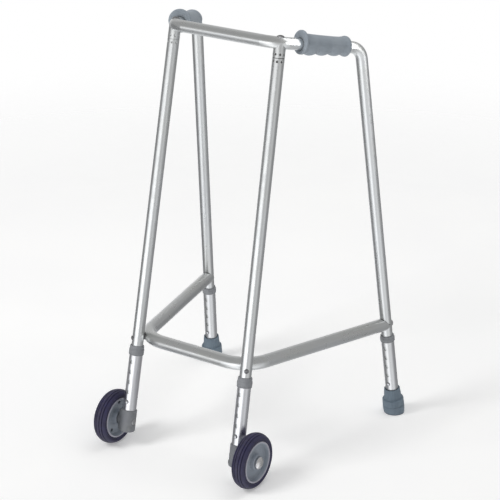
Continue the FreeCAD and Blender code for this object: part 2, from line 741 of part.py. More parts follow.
# ---------------------------------------------------------------- all pieces
parts = {
    "top_tube": top_tube(),
    "top_bolt_washers": top_bolt_washers(),
    "brace_tube": brace_tube(),
    "brace_saddles": brace_saddles(),
    "brace_spacers": brace_spacers(),
    "brace_front_nuts": brace_front_nuts(),
    "brace_rear_washers": brace_rear_washers(),
}
left_parts = {
    "front_leg": front_leg(),
    "leg_top_plug": leg_top_plug(),
    "top_bolt": top_bolt(),
    "brace_front_bolt": brace_front_bolt(),
    "brace_end_plug": brace_end_plug(),
    "brace_rear_bolt": brace_rear_bolt(),
    "grip": hand_grip(),
    "extension_front": front_extension(),
    "extension_rear": rear_extension(),
    "collar_front": collar(on_front(FRONT_COLLAR_Z), front_dir, FRONT_COLLAR_H),
    "collar_rear": collar(on_rear(REAR_COLLAR_Z), rear_dir, REAR_COLLAR_H),
    "snap_clip_front": snap_clip(on_front(FRONT_BUTTON_Z), front_dir),
    "snap_clip_rear": snap_clip(on_rear(REAR_BUTTON_Z), rear_dir),
    "ferrule": ferrule(),
    "ferrule_disc": ferrule_disc(),
    "wheel_bracket": wheel_bracket(),
    "bracket_rivet": bracket_rivet(),
    "axle": wheel_axle(),
    "axle_washers": axle_washers(),
    "axle_nut": axle_nut(),
    "axle_cap": axle_cap(),
    "hub_bush": hub_bush(),
    "hub": wheel_hub(),
    "tyre": tyre(),
}
for name, shape in left_parts.items():
    parts[name + "_left"] = shape
    parts[name + "_right"] = mirror(shape)

os.makedirs("parts", exist_ok=True)
for name, shape in parts.items():
    moved = shape.copy()
    moved.translate(Vec(0, Y_SHIFT, 0))
    moved.exportStep("parts/%s.step" % name)
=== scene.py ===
"""A wheeled walking frame standing on the floor.

The front faces -Y, the user's left is +X and the floor is Z = 0. Shapes are worked out in mm
for the left side and mirrored to the right; Blender units are metres.
"""
import json
import math

import bpy
import numpy as np
from mathutils import Matrix, Vector, noise


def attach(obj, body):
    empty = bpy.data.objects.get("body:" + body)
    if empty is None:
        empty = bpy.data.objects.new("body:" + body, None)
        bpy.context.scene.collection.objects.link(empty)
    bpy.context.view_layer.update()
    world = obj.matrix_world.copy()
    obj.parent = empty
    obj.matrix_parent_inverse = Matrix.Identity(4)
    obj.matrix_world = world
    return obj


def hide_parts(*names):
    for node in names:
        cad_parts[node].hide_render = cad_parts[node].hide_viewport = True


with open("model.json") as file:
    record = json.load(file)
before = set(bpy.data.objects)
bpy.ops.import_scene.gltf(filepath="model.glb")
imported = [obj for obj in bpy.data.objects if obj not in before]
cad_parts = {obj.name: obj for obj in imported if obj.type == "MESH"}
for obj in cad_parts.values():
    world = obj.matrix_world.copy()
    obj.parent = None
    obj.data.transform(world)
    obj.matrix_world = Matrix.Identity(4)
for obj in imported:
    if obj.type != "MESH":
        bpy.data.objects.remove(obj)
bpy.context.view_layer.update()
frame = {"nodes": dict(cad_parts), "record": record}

SCENE = bpy.context.scene
NODES = frame["nodes"]
MM = 0.001

# ------------------------------------------------------------------ centre lines (mm, left side)
BAR = Vector((112.0, -44.6935, 805.0))          # front end of the hand rail
RAIL = Vector((184.2, 129.3065, 766.5))         # rear end of the rail, top of the rear leg
REAR_FOOT = Vector((223.4, 222.3065, 0.0))
FRONT_FOOT = Vector((128.0, -200.6935, 0.0))
LEG_TOP = Vector((115.04, -31.9715, 802.185))   # top of the front leg
TUBE_R, EXTENSION_R = 11.1, 12.7
WHEEL_X, WHEEL_R = 160.7, 53.5
BRACE_FRONT_Z, BRACE_REAR_Z = 216.8, 198.0
UP = Vector((0, 0, 1))
FORE = Vector((0, -1, 0))
RAIL_DIR = (RAIL - BAR).normalized()
REAR_DIR = (RAIL - REAR_FOOT).normalized()
FRONT_DIR = (LEG_TOP - FRONT_FOOT).normalized()


def at_z(start, end, z):
    """Point at height z on the line through start and end."""
    return start + (end - start) * ((z - start.z) / (end.z - start.z))


def basis(axis, x_hint):
    """Right-handed axes with z along axis and x as near x_hint as possible."""
    z = Vector(axis).normalized()
    x = (Vector(x_hint) - z * Vector(x_hint).dot(z)).normalized()
    return x, z.cross(x), z


AXLE = at_z(FRONT_FOOT, LEG_TOP, WHEEL_R)
BRACE_DIR = at_z(RAIL, REAR_FOOT, BRACE_REAR_Z) - at_z(LEG_TOP, FRONT_FOOT, BRACE_FRONT_Z)


# ------------------------------------------------------------------ shader graphs
class Signal:
    """A node output; each arithmetic step on it adds a Math node."""

    def __init__(self, tree, socket):
        self.tree = tree
        self.socket = socket

    def __add__(self, other):
        return self.tree.math("ADD", self, other)

    def __radd__(self, other):
        return self.tree.math("ADD", other, self)

    def __sub__(self, other):
        return self.tree.math("SUBTRACT", self, other)

    def __rsub__(self, other):
        return self.tree.math("SUBTRACT", other, self)

    def __mul__(self, other):
        return self.tree.math("MULTIPLY", self, other)

    def __truediv__(self, other):
        return self.tree.math("DIVIDE", self, other)

    def __pow__(self, other):
        return self.tree.math("POWER", self, other)

    def __abs__(self):
        return self.tree.math("ABSOLUTE", self)

    def ramp(self, lo, hi, start=0.0, end=1.0):
        """Smooth step from start at lo to end at hi; lo may be above hi."""
        inputs = {0: self, 1: lo, 2: hi, 3: start, 4: end}
        return self.tree.node("MapRange", inputs, interpolation_type="SMOOTHSTEP")


class Tree:
    """The node tree of a material or world, emptied and ready to fill."""

    def __init__(self, owner):
        owner.use_nodes = True
        self.nodes = owner.node_tree.nodes
        self.links = owner.node_tree.links
        self.nodes.clear()

    def feed(self, socket, value):
        if isinstance(value, Signal):
            self.links.new(value.socket, socket)
        elif socket.type == "RGBA":
            socket.default_value = (*value, 1.0)
        else:
            socket.default_value = value

    def node(self, kind, inputs=None, output=0, **settings):
        """Add a node, feed its inputs by name or index, and give one of its outputs."""
        node = self.nodes.new("ShaderNode" + kind)
        for name, value in settings.items():
            setattr(node, name, value)
        for key, value in (inputs or {}).items():
            self.feed(node.inputs[key], value)
        return Signal(self, node.outputs[output])

    def finish(self, kind, shader):
        self.feed(self.nodes.new("ShaderNode" + kind).inputs[0], shader)

    def math(self, operation, first, second=0.0, clamp=False):
        inputs = {0: first, 1: second, 2: 0.0}
        return self.node("Math", inputs, operation=operation, use_clamp=clamp)

    def vmath(self, operation, first, second=(0, 0, 0)):
        inputs = {0: first, "Scale" if operation == "SCALE" else 1: second}
        output = "Value" if operation in ("DOT_PRODUCT", "LENGTH") else "Vector"
        return self.node("VectorMath", inputs, output, operation=operation)

    def split(self, vector):
        node = self.node("SeparateXYZ", {"Vector": vector}).socket.node
        return [Signal(self, socket) for socket in node.outputs]

    def combine(self, x, y, z):
        return self.node("CombineXYZ", {"X": x, "Y": y, "Z": z})

    def mix(self, factor, first, second):
        return self.node("Mix", {0: factor, 6: first, 7: second}, output=2, data_type="RGBA")

    def mix_vectors(self, factor, first, second):
        return self.node("Mix", {0: factor, 4: first, 5: second}, output=1, data_type="VECTOR")

    def mix_shaders(self, factor, first, second):
        return self.node("MixShader", {0: factor, 1: first, 2: second})

    def noise(self, vector, scale, detail=3.0, rough=0.5, distortion=0.0):
        return self.node("TexNoise", {
            "Vector": vector, "Scale": scale, "Detail": detail,
            "Roughness": rough, "Distortion": distortion})

    def bump(self, height, strength, distance, normal=None):
        inputs = {"Height": height, "Strength": strength, "Distance": distance}
        if normal is not None:
            inputs["Normal"] = normal
        return self.node("Bump", inputs)


def new_material(name):
    """A material, its empty tree and the object position in metres."""
    material = bpy.data.materials.new(name)
    tree = Tree(material)
    return material, tree, tree.node("TexCoord", output="Object")


def cavity(tree, reach, power=1.2, samples=6):
    """0 in the open, 1 deep in a corner; the materials paint shade with it."""
    open_sky = tree.node("AmbientOcclusion", {"Distance": reach}, output="AO", samples=samples)
    return tree.math("SUBTRACT", 1.0, open_sky, clamp=True) ** power


def edge_wear_and_highlight(tree, radius):
    """1 on rounded-over edges and 0 on flats, then the softened normal; the materials pale edges
    with it, partly as rubbed wear and partly as painted edge highlight.
    """
    soft = tree.node("Bevel", {"Radius": radius}, samples=4)
    true_normal = tree.node("NewGeometry", output="Normal")
    turn = 1.0 - tree.vmath("DOT_PRODUCT", soft, true_normal)
    return turn.ramp(lo=0.01, hi=0.16), soft


# ------------------------------------------------------------------ aluminium tube
# where the streaks change direction on bent tubes (mm)
BRACE_BEND_Y = (-142.0, -108.0)
RAIL_BEND_Y = (BAR.y - 2, BAR.y + 26)
REAR_BEND_Z = (750.0, 728.0)
# bands that fade in the painted shade of the crimp marks (m)
CRIMP_START = (0.0155, 0.0165)          # distance below the leg top
CRIMP_END = (0.0375, 0.0365)
CRIMP_SINK = ((TUBE_R - 0.08) * MM, (TUBE_R - 0.40) * MM)     # distance from the leg axis


def folded_position(tree, position):
    """x, y, z and the position with the right side folded onto the left."""
    x, y, z = tree.split(position)
    return x, y, z, tree.combine(abs(x), y, z)


def tube_along(tree, position, kind):
    """Position whose third part runs along the tube; left and right sides share it."""
    x, y, z, folded = folded_position(tree, position)

    def framed(axis, x_hint):
        parts = [tree.vmath("DOT_PRODUCT", folded, tuple(v)) for v in basis(axis, x_hint)]
        return tree.combine(*parts)

    def bend(coordinate, limits, first, second):
        weight = coordinate.ramp(limits[0] * MM, limits[1] * MM)
        return tree.mix_vectors(weight, first, second)

    if kind == "front":
        return framed(FRONT_DIR, FORE)
    if kind == "rear":
        return framed(REAR_DIR, FORE)
    crossbar = tree.combine(y, z, x)
    if kind == "brace":
        return bend(y, BRACE_BEND_Y, crossbar, framed(BRACE_DIR, UP))
    rail = framed(RAIL_DIR, UP)
    rear = framed(REAR_DIR, FORE)
    return bend(z, REAR_BEND_Z, bend(y, RAIL_BEND_Y, crossbar, rail), rear)


def crimp_shade(tree, position):
    """Where shade is painted: 1 on the sunken faces of the crimps near the top of a front leg,
    fainter on the right.
    """
    x, _, _, folded = folded_position(tree, position)
    down = tuple(-FRONT_DIR)
    from_top = tree.vmath("SUBTRACT", folded, tuple(LEG_TOP * MM))
    drop = tree.vmath("DOT_PRODUCT", from_top, down)
    off_axis = tree.vmath("SUBTRACT", from_top, tree.vmath("SCALE", down, drop))
    distance = tree.vmath("LENGTH", off_axis)
    band = drop.ramp(*CRIMP_START) * drop.ramp(*CRIMP_END)
    sunk = band * distance.ramp(*CRIMP_SINK)
    return sunk * x.ramp(lo=-0.001, hi=0.001, start=0.25, end=1.0)


def aluminium(name, kind, seed, tint=(0.80, 0.815, 0.82), crimped=False):
    """Anodised drawn tube; kind says which way the streaks run, seed shifts them."""
    material, tree, position = new_material(name)
    along = tube_along(tree, position, kind)
    stretched = tree.vmath("MULTIPLY", along, (1.0, 1.0, 0.02))
    stretched = tree.vmath("ADD", stretched, (seed, seed * 0.7, seed * 0.3))
    die_lines = tree.noise(stretched, scale=1500.0, detail=2.0, rough=0.6)
    streaks = tree.noise(stretched, scale=190.0, detail=2.0)
    cloud_space = tree.vmath("MULTIPLY", along, (1.0, 1.0, 0.35))
    cloud = tree.noise(cloud_space, scale=22.0, rough=0.55)
    smudge = tree.noise(position, scale=60.0, detail=4.0, rough=0.6, distortion=0.6)
    # hairline scratches that cross the tube, in patches
    scratch_space = tree.vmath("MULTIPLY", along, (0.06, 0.06, 1.0))
    scratches = tree.noise(scratch_space, scale=900.0, detail=2.0)
    patches = tree.noise(position, scale=16.0, detail=2.0).ramp(lo=0.58, hi=0.74)
    scratches = scratches.ramp(lo=0.66, hi=0.72) * patches
    # painted shade: near black in tight corners; the same mask also roughens the surface and
    # takes away some metal
    corners = cavity(tree, reach=0.004, power=1.0, samples=10).ramp(lo=0.36, hi=0.85)
    painted_shade = tree.math("MULTIPLY", corners, 0.85, clamp=True)
    # crimped legs: painted shade in the crimp dimples as well
    if crimped:
        painted_shade = tree.math("MAXIMUM", painted_shade, crimp_shade(tree, position))
    dark = tuple(channel * 0.80 for channel in tint)
    warm = (tint[0] * 0.97, tint[1] * 0.965, tint[2] * 0.94)
    colour = tree.mix(cloud.ramp(lo=0.35, hi=0.72), tint, warm)
    colour = tree.mix(streaks.ramp(lo=0.42, hi=0.74) * 0.32, colour, dark)
    colour = tree.mix(scratches * 0.10, colour, (0.90, 0.91, 0.92))
    # paint the shade mask in near black
    colour = tree.mix(painted_shade * 0.9, colour, (0.045, 0.043, 0.04))
    rough = 0.235 + smudge.ramp(lo=0.3, hi=0.75) * 0.10 + streaks * 0.06 + painted_shade * 0.25
    tree.finish("OutputMaterial", tree.node("BsdfPrincipled", {
        "Base Color": colour,
        "Metallic": 1.0 - painted_shade * 0.75,
        "Roughness": rough,
        "Normal": tree.bump(die_lines * 0.6, strength=0.10, distance=0.0002)}))
    return material


# ------------------------------------------------------------------ moulded plastics and rubber
def moulded(name, colour, light, dark, rough, grain=2300.0, grain_depth=0.00012, speck=0.25,
            wear_and_edge_light=0.5, edge_radius=0.0007, sheen=0.0, corner_shade_colour=(0.03, 0.03, 0.032),
            corner_shade_reach=0.004, extra=None):
    """Grained moulding, clouded from colour to light with dark flow marks.

    speck is the strength of the flow marks; the wear setting is that of scuffs and pale edges,
    the pale edges being partly rubbed wear and partly painted edge highlight;
    extra changes the finished colour, roughness and normal.
    """
    material, tree, position = new_material(name)
    fine = tree.noise(position, scale=grain, detail=2.0, rough=0.6)
    pits = tree.node("TexVoronoi", {"Vector": position, "Scale": grain * 0.55}, "Distance")
    pits = pits.ramp(lo=0.0, hi=0.5)
    cloud = tree.noise(position, scale=38.0, detail=4.0, rough=0.6)
    flow_space = tree.vmath("MULTIPLY", position, (1.0, 1.0, 0.25))
    flow = tree.noise(flow_space, scale=120.0, rough=0.55, distortion=0.8)
    worn_and_lit_edges, soft_normal = edge_wear_and_highlight(tree, edge_radius)
    painted_shade = cavity(tree, corner_shade_reach)
    scuff = tree.noise(position, scale=420.0, rough=0.6).ramp(lo=0.55, hi=0.75)
    scuff = scuff * cloud.ramp(lo=0.5, hi=0.72)
    pale = tuple(min(1.0, channel * 1.45 + 0.02) for channel in colour)
    shade = tree.mix(cloud.ramp(lo=0.32, hi=0.70), colour, light)
    shade = tree.mix(flow.ramp(lo=0.48, hi=0.78) * speck, shade, dark)
    shade = tree.mix(scuff * (0.22 * wear_and_edge_light), shade, pale)
    # pale edges: partly rubbed wear, partly painted edge highlight
    shade = tree.mix(worn_and_lit_edges * (0.55 * wear_and_edge_light), shade, pale)
    # painted shade: corners and recesses darkened towards the shade colour
    shade = tree.mix(painted_shade * 0.65, shade, corner_shade_colour)
    roughness = (rough - 0.06) + cloud.ramp(lo=0.25, hi=0.75) * 0.14 - worn_and_lit_edges * 0.10
    height = fine * 0.7 + pits * 0.3
    normal = tree.bump(height, strength=0.55, distance=grain_depth, normal=soft_normal)
    if extra is not None:
        shade, roughness, normal = extra(tree, position, shade, roughness, normal)
    tree.finish("OutputMaterial", tree.node("BsdfPrincipled", {
        "Base Color": shade, "Roughness": roughness, "Normal": normal, "Sheen Weight": sheen}))
    return material


def axle_distance(tree, y, z):
    """Distance from the wheel axle in metres."""
    y_off = y - AXLE.y * MM
    z_off = z - WHEEL_R * MM
    return tree.math("SQRT", y_off * y_off + z_off * z_off)


def hub_extra(tree, position, colour, rough, normal):
    """Paler rim ring where the hub meets the tyre."""
    _, y, z = tree.split(position)
    ring = axle_distance(tree, y, z).ramp(lo=0.0360, hi=0.0368)
    speck = tree.noise(position, scale=700.0, detail=2.0).ramp(lo=0.3, hi=0.75)
    rim = tree.mix(speck, (0.50, 0.50, 0.57), (0.39, 0.39, 0.45))
    return tree.mix(ring, colour, rim), rough - ring * 0.06, normal


def tyre_extra(tree, position, colour, rough, normal):
    """Blue bloom, grey road dust on the tread and fine turning lines."""
    x, y, z = tree.split(position)
    radius = axle_distance(tree, y, z)
    bloom = tree.noise(position, scale=75.0, detail=4.0, rough=0.65, distortion=1.0)
    bloom = bloom.ramp(lo=0.42, hi=0.72)
    colour = tree.mix(bloom * 0.6, colour, (0.040, 0.038, 0.120))
    dust = tree.noise(position, scale=160.0, detail=4.0, rough=0.7).ramp(lo=0.40, hi=0.72)
    dust = radius.ramp(lo=0.0505, hi=0.0533) * dust
    colour = tree.mix(dust * 0.40, colour, (0.125, 0.115, 0.135))
    line_space = tree.combine(abs(x) * 1.0, radius, 0.0)
    lines = tree.noise(line_space, scale=2600.0, detail=2.0)
    normal = tree.bump(lines, strength=0.25, distance=0.0002, normal=normal)
    return colour, rough + dust * 0.18, normal


# ------------------------------------------------------------------ bright metal
def bright_metal(name, colour, rough, stains=0.3, dark=(0.12, 0.11, 0.10), metallic=1.0,
                 corner_shade_reach=0.0022):
    """Lightly stained metal with painted shade darkening its corners."""
    material, tree, position = new_material(name)
    cloud = tree.noise(position, scale=220.0, detail=4.0, rough=0.6)
    fine = tree.noise(position, scale=2400.0, detail=2.0, rough=0.6)
    _, soft_normal = edge_wear_normal = None, tree.node("Bevel", {"Radius": 0.0004}, samples=4)
    painted_shade = cavity(tree, corner_shade_reach)
    stained = tuple(channel * 0.6 for channel in colour)
    shade = tree.mix(cloud.ramp(lo=0.45, hi=0.75) * stains, colour, stained)
    # painted shade in the corners, in the dark colour
    shade = tree.mix(painted_shade * 0.8, shade, dark)
    tree.finish("OutputMaterial", tree.node("BsdfPrincipled", {
        "Base Color": shade,
        "Metallic": metallic,
        "Roughness": rough + cloud.ramp(lo=0.3, hi=0.8) * 0.16,
        "Normal": tree.bump(fine, strength=0.25, distance=0.00008, normal=soft_normal)}))
    return material


# ------------------------------------------------------------------ the materials
MAT = {
    "tube_top": aluminium("anodised_tube_top", "top", seed=0.0),
    "tube_front": aluminium("anodised_tube_front", "front", seed=3.1, crimped=True),
    "tube_brace": aluminium("anodised_tube_brace", "brace", seed=5.7),
    "ext_front": aluminium(
        "anodised_extension_front", "front", seed=8.3, tint=(0.81, 0.815, 0.84)),
    "ext_rear": aluminium(
        "anodised_extension_rear", "rear", seed=11.9, tint=(0.81, 0.82, 0.835)),
    "grip": moulded(
        "grip_rubber", colour=(0.289, 0.330, 0.372), light=(0.330, 0.371, 0.412),
        dark=(0.236, 0.269, 0.306), rough=0.62, grain=1500.0, grain_depth=0.00022,
        speck=0.35, wear_and_edge_light=0.55, edge_radius=0.0009, sheen=0.10),
    "collar": moulded(
        "collar_plastic", colour=(0.252, 0.262, 0.280), light=(0.292, 0.303, 0.322),
        dark=(0.193, 0.202, 0.219), rough=0.46, wear_and_edge_light=0.6),
    "bracket": moulded(
        "bracket_plastic", colour=(0.210, 0.217, 0.238), light=(0.235, 0.245, 0.257),
        dark=(0.16, 0.17, 0.18), rough=0.45, wear_and_edge_light=0.7, edge_radius=0.0010),
    "ferrule": moulded(
        "ferrule_rubber", colour=(0.148, 0.198, 0.248), light=(0.180, 0.232, 0.282),
        dark=(0.110, 0.150, 0.192), rough=0.60, grain=1400.0, grain_depth=0.0002,
        speck=0.4, wear_and_edge_light=0.6, edge_radius=0.0009, sheen=0.08),
    "tyre": moulded(
        "tyre_rubber", colour=(0.031, 0.029, 0.070), light=(0.046, 0.043, 0.092),
        dark=(0.018, 0.016, 0.042), rough=0.50, grain=1300.0, grain_depth=0.0002,
        speck=0.5, edge_radius=0.0006, corner_shade_colour=(0.008, 0.008, 0.014),
        corner_shade_reach=0.003, extra=tyre_extra),
    # the long reach paints shade deep into the hub dish
    "hub": moulded(
        "hub_plastic", colour=(0.308, 0.346, 0.402), light=(0.372, 0.410, 0.466),
        dark=(0.223, 0.256, 0.306), rough=0.42, grain=2200.0, corner_shade_reach=0.010,
        extra=hub_extra),
    "bush": moulded(
        "bush_plastic", colour=(0.70, 0.70, 0.66), light=(0.76, 0.76, 0.72),
        dark=(0.58, 0.57, 0.53), rough=0.4, wear_and_edge_light=0.3),
    "plug": moulded(
        "plug_plastic", colour=(0.040, 0.041, 0.044), light=(0.055, 0.056, 0.060),
        dark=(0.026, 0.026, 0.028), rough=0.5, wear_and_edge_light=0.6),
    # dark grey saddles and spacers; the dark saddle rims at the brace ends also stand in for the
    # shade where the brace meets the legs
    "saddle": moulded(
        "saddle_plastic_and_joint_shade", colour=(0.150, 0.155, 0.165), light=(0.180, 0.185, 0.195),
        dark=(0.11, 0.115, 0.125), rough=0.5),
    "bolt": bright_metal(
        "bolt_dulled", colour=(0.34, 0.34, 0.35), rough=0.34, stains=0.45,
        dark=(0.02, 0.02, 0.02), corner_shade_reach=0.0045),
    "rivet": bright_metal("rivet_painted", colour=(0.27, 0.28, 0.29), rough=0.42, metallic=0.35),
    "cap": bright_metal(
        "cap_bright", colour=(0.86, 0.85, 0.85), rough=0.14, stains=0.22,
        dark=(0.16, 0.12, 0.10)),
    "spring_steel": bright_metal("spring_plated", colour=(0.66, 0.67, 0.69), rough=0.24),
    "steel": bright_metal("zinc_plated", colour=(0.62, 0.62, 0.63), rough=0.30),
}

# CAD pieces by whole name, then by how the name starts, then by material slot
BY_NAME = {"top_tube": "tube_top", "brace_tube": "tube_brace",
           "brace_saddles": "saddle", "brace_spacers": "saddle"}
BY_PREFIX = {"front_leg": "tube_front", "extension_front": "ext_front",
             "extension_rear": "ext_rear", "top_bolt_left": "bolt",
             "top_bolt_right": "bolt", "brace_front_bolt": "bolt"}
SLOTS = {"grip", "collar", "bracket", "ferrule", "tyre", "hub", "bush", "plug", "rivet", "cap",
         "spring_steel", "steel"}
NODE_SLOT = {part["node"]: part["material_slot"] for part in frame["record"]["subparts"]}


def material_for(node):
    if node in BY_NAME:
        return MAT[BY_NAME[node]]
    for prefix, key in BY_PREFIX.items():
        if node.startswith(prefix):
            return MAT[key]
    slot = NODE_SLOT.get(node)
    return MAT[slot if slot in SLOTS else "steel"]


for node_name, node_object in NODES.items():
    node_object.data.materials.clear()
    node_object.data.materials.append(material_for(node_name))


# ------------------------------------------------------------------ mesh helpers
def make_piece(name, verts, faces, side, slot, replaced, body, sharp):
    """Make a piece from left-side vertices in mm; side -1 mirrors it to the right.

    Edges steeper than sharp degrees stay sharp.
    """
    points = np.array(verts, float).reshape(-1, 3) * MM
    if side < 0:
        points[:, 0] *= -1.0
        faces = [tuple(reversed(face)) for face in faces]
    mesh = bpy.data.meshes.new(name)
    mesh.from_pydata([tuple(point) for point in points], [], faces)
    mesh.validate()
    mesh.update()
    mesh.shade_smooth()
    mesh.set_sharp_from_angle(angle=math.radians(sharp))
    piece = bpy.data.objects.new(name, mesh)
    SCENE.collection.objects.link(piece)
    piece.data.materials.append(MAT[slot])
    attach(piece, body)
    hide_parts(replaced)


def grid_faces(rows, columns, flip):
    """Quads between rings of points, closed both ways."""
    faces = []
    for i in range(rows):
        here, there = i * columns, ((i + 1) % rows) * columns
        for j in range(columns):
            k = (j + 1) % columns
            face = (here + j, here + k, there + k, there + j)
            faces.append(face[::-1] if flip else face)
    return faces


def rounded(profile, steps=4):
    """Closed profile of (radius, height, optional fillet) corners with the fillets cut in."""
    points = []
    for i, (radius, height, *fillet) in enumerate(profile):
        corner = Vector((radius, height))
        before = Vector(profile[i - 1][:2]) - corner
        after = Vector(profile[(i + 1) % len(profile)][:2]) - corner
        angle = before.angle(after)
        if not fillet or angle > math.radians(176):
            points.append(corner)
            continue
        half_tan = math.tan(angle / 2.0)
        trim = min(fillet[0] / half_tan, before.length * 0.49, after.length * 0.49)
        before.normalize()
        after.normalize()
        reach = trim * half_tan / math.sin(angle / 2.0)
        centre = corner + (before + after).normalized() * reach
        start = corner + before * trim - centre
        end = corner + after * trim - centre
        sweep = start.angle(end)
        if start.x * end.y - start.y * end.x <= 0:
            sweep = -sweep
        for k in range(steps + 1):
            cos, sin = math.cos(sweep * k / steps), math.sin(sweep * k / steps)
            arm = Vector((start.x * cos - start.y * sin, start.x * sin + start.y * cos))
            points.append(centre + arm)
    return [(point.x, point.y) for point in points]


def subdivide(profile, step):
    """Extra points on long straight runs, so that small shape changes can move them."""
    points = []
    for i in range(len(profile)):
        start, end = np.array(profile[i]), np.array(profile[(i + 1) % len(profile)])
        count = max(1, int(np.linalg.norm(end - start) / step))
        points += [tuple(start + (end - start) * k / count) for k in range(count)]
    return points


def lathe(profile, segments, origin, axis, x_hint, shape):
    """Turn a closed (radius, height) profile about an axis.

    shape(angle, radius, height) gives the radius and height to use at that angle.
    """
    axes = np.array(basis(axis, x_hint)).T
    centre = np.array(origin)
    verts = []
    for profile_point in profile:
        for j in range(segments):
            angle = 2 * math.pi * j / segments
            radius, height = shape(angle, *profile_point)
            local = np.array([radius * math.cos(angle), radius * math.sin(angle), height])
            verts.append(centre + axes @ local)
    area = sum(profile[i - 1][0] * profile[i][1] - profile[i][0] * profile[i - 1][1]
               for i in range(len(profile)))
    return verts, grid_faces(len(profile), segments, flip=area > 0)


# ------------------------------------------------------------------ hand grips
GRIP_START = 54.5           # from the front end of the rail to the front of the grip
GRIP_SEGMENTS = 144
GRIP_BORE = TUBE_R + 0.05
FLANGE_LIFT = 3.6           # the flange disc sits this far above the rail axis
# (distance along the grip, radius) of the body
GRIP_BODY = [
    (0, 19.9), (8, 19.8), (22, 19.4), (45, 18.5), (75, 17.8), (89, 17.9), (94.5, 18.7),
    (98, 19.9), (100.2, 20.2), (102.2, 19.5), (106, 17.5),
]
# (distance along the grip, disc radius) of the front flange
GRIP_FLANGE = [
    (0.35, 18.6), (0.15, 19.7), (0.2, 20.9), (0.5, 21.5), (1.0, 21.82), (1.6, 21.9),
    (3.0, 21.9), (3.7, 21.8), (4.25, 21.4), (4.55, 20.8), (4.62, 20.0),
]
FINGER_START, FINGER_PITCH, FINGER_DEPTH = 8.0, 27.3, 4.3
GRIP_END, END_LENGTH, END_DROP = 101.4, 2.6, 3.4     # last body ring and the rounded end


def smooth_curve(stations, width):
    """Stations joined by straight lines and blurred by a bell curve of this width."""
    along = np.linspace(stations[0][0] - 20, stations[-1][0] + 20, 3000)
    radii = np.interp(along, *zip(*stations))
    offsets = np.arange(-60, 61) * (along[1] - along[0])
    kernel = np.exp(-0.5 * (offsets / width) ** 2)
    padded = np.pad(radii, 60, mode="edge")
    return along, np.convolve(padded, kernel / kernel.sum(), mode="valid")


def build_grip(tag, side):
    theta = np.arange(GRIP_SEGMENTS) * 2 * math.pi / GRIP_SEGMENTS      # 0 is the top
    cos, sin = np.cos(theta), np.sin(theta)
    under = np.clip((-cos + 0.10) / 1.10, 0, 1) ** 0.6      # 1 straight below
    from_below = np.abs(np.degrees(theta) - 180)
    parting = np.exp(-((from_below - 113.0) / 2.0) ** 2)    # parting ridges on both flanks
    waist = np.clip(1 - np.abs(cos + 0.25) / 0.6, 0, 1)
    stippled = np.clip((-cos + 0.35) / 0.25, 0, 1)          # lower half only

    def circle(radius):
        return np.full(GRIP_SEGMENTS, radius)

    def flange(radius):
        return FLANGE_LIFT * cos + np.sqrt(radius * radius - (FLANGE_LIFT * sin) ** 2)

    curve = smooth_curve(GRIP_BODY, width=1.4)

    def body(along):
        base = float(np.interp(along, *curve)) - 1.0 * math.exp(-((along - 5.0) / 1.1) ** 2)
        # rounded finger bumps with narrow valleys
        bump = abs(math.sin(math.pi * (along - FINGER_START) / FINGER_PITCH))
        wave = -FINGER_DEPTH * (1.0 - bump ** 0.85)
        fade = min(1.0, max(0.0, (along - 4.5) / 2.5)) * min(1.0, max(0.0, (101.0 - along) / 4.0))
        radius = base + under * wave * fade
        if along > 85:
            radius = radius - under * max(0.0, base - 18.0)
        # shallow palm flat on top and a slight side waist in each valley
        radius = radius - 0.35 * np.clip(cos, 0, 1) ** 6 * (1 if 20 < along < 88 else 0.4)
        radius = radius - 0.7 * (1.0 - bump) * fade * waist
        radius = radius + parting * 0.42
        grain = [noise.noise(Vector((along * 0.42, angle * 3.6, 5.0))) for angle in theta]
        return radius + 0.22 * np.array(grain) * stippled * fade

    rings = [(0.9, circle(GRIP_BORE)), (0.2, circle(GRIP_BORE + 0.7))]
    rings += [(along, flange(radius)) for along, radius in GRIP_FLANGE]
    rings += [(4.65, flange(19.5) * 0.3 + 18.9 * 0.7), (4.75, circle(18.5))]
    stations = [*np.linspace(5.2, 100.0, 131), 100.8, GRIP_END]
    rings += [(float(along), body(float(along))) for along in stations]
    end_radius = rings[-1][1]
    for k in range(1, 8):
        angle = math.pi / 2 * k / 7
        rings.append((GRIP_END + END_LENGTH * math.sin(angle),
                      end_radius - END_DROP * (1 - math.cos(angle))))
    rings += [(GRIP_END + END_LENGTH, circle(GRIP_BORE + 1.4)),
              (GRIP_END + 2.2, circle(GRIP_BORE))]

    x, y, z = basis(RAIL_DIR, UP)
    origin = BAR + RAIL_DIR * GRIP_START
    verts = []
    for along, radius in rings:
        for j in range(GRIP_SEGMENTS):
            across = x * float(radius[j] * cos[j])
            verts.append(tuple(origin + z * along + across + y * float(radius[j] * sin[j])))
    faces = grid_faces(len(rings), GRIP_SEGMENTS, flip=True)
    make_piece("hand_grip_" + tag, verts, faces, side, "grip", "grip_" + tag, "frame", sharp=50)


# ------------------------------------------------------------------ rear ferrules
FERRULE_BORE = EXTENSION_R + 0.05
BORE_FLOOR = 6.5
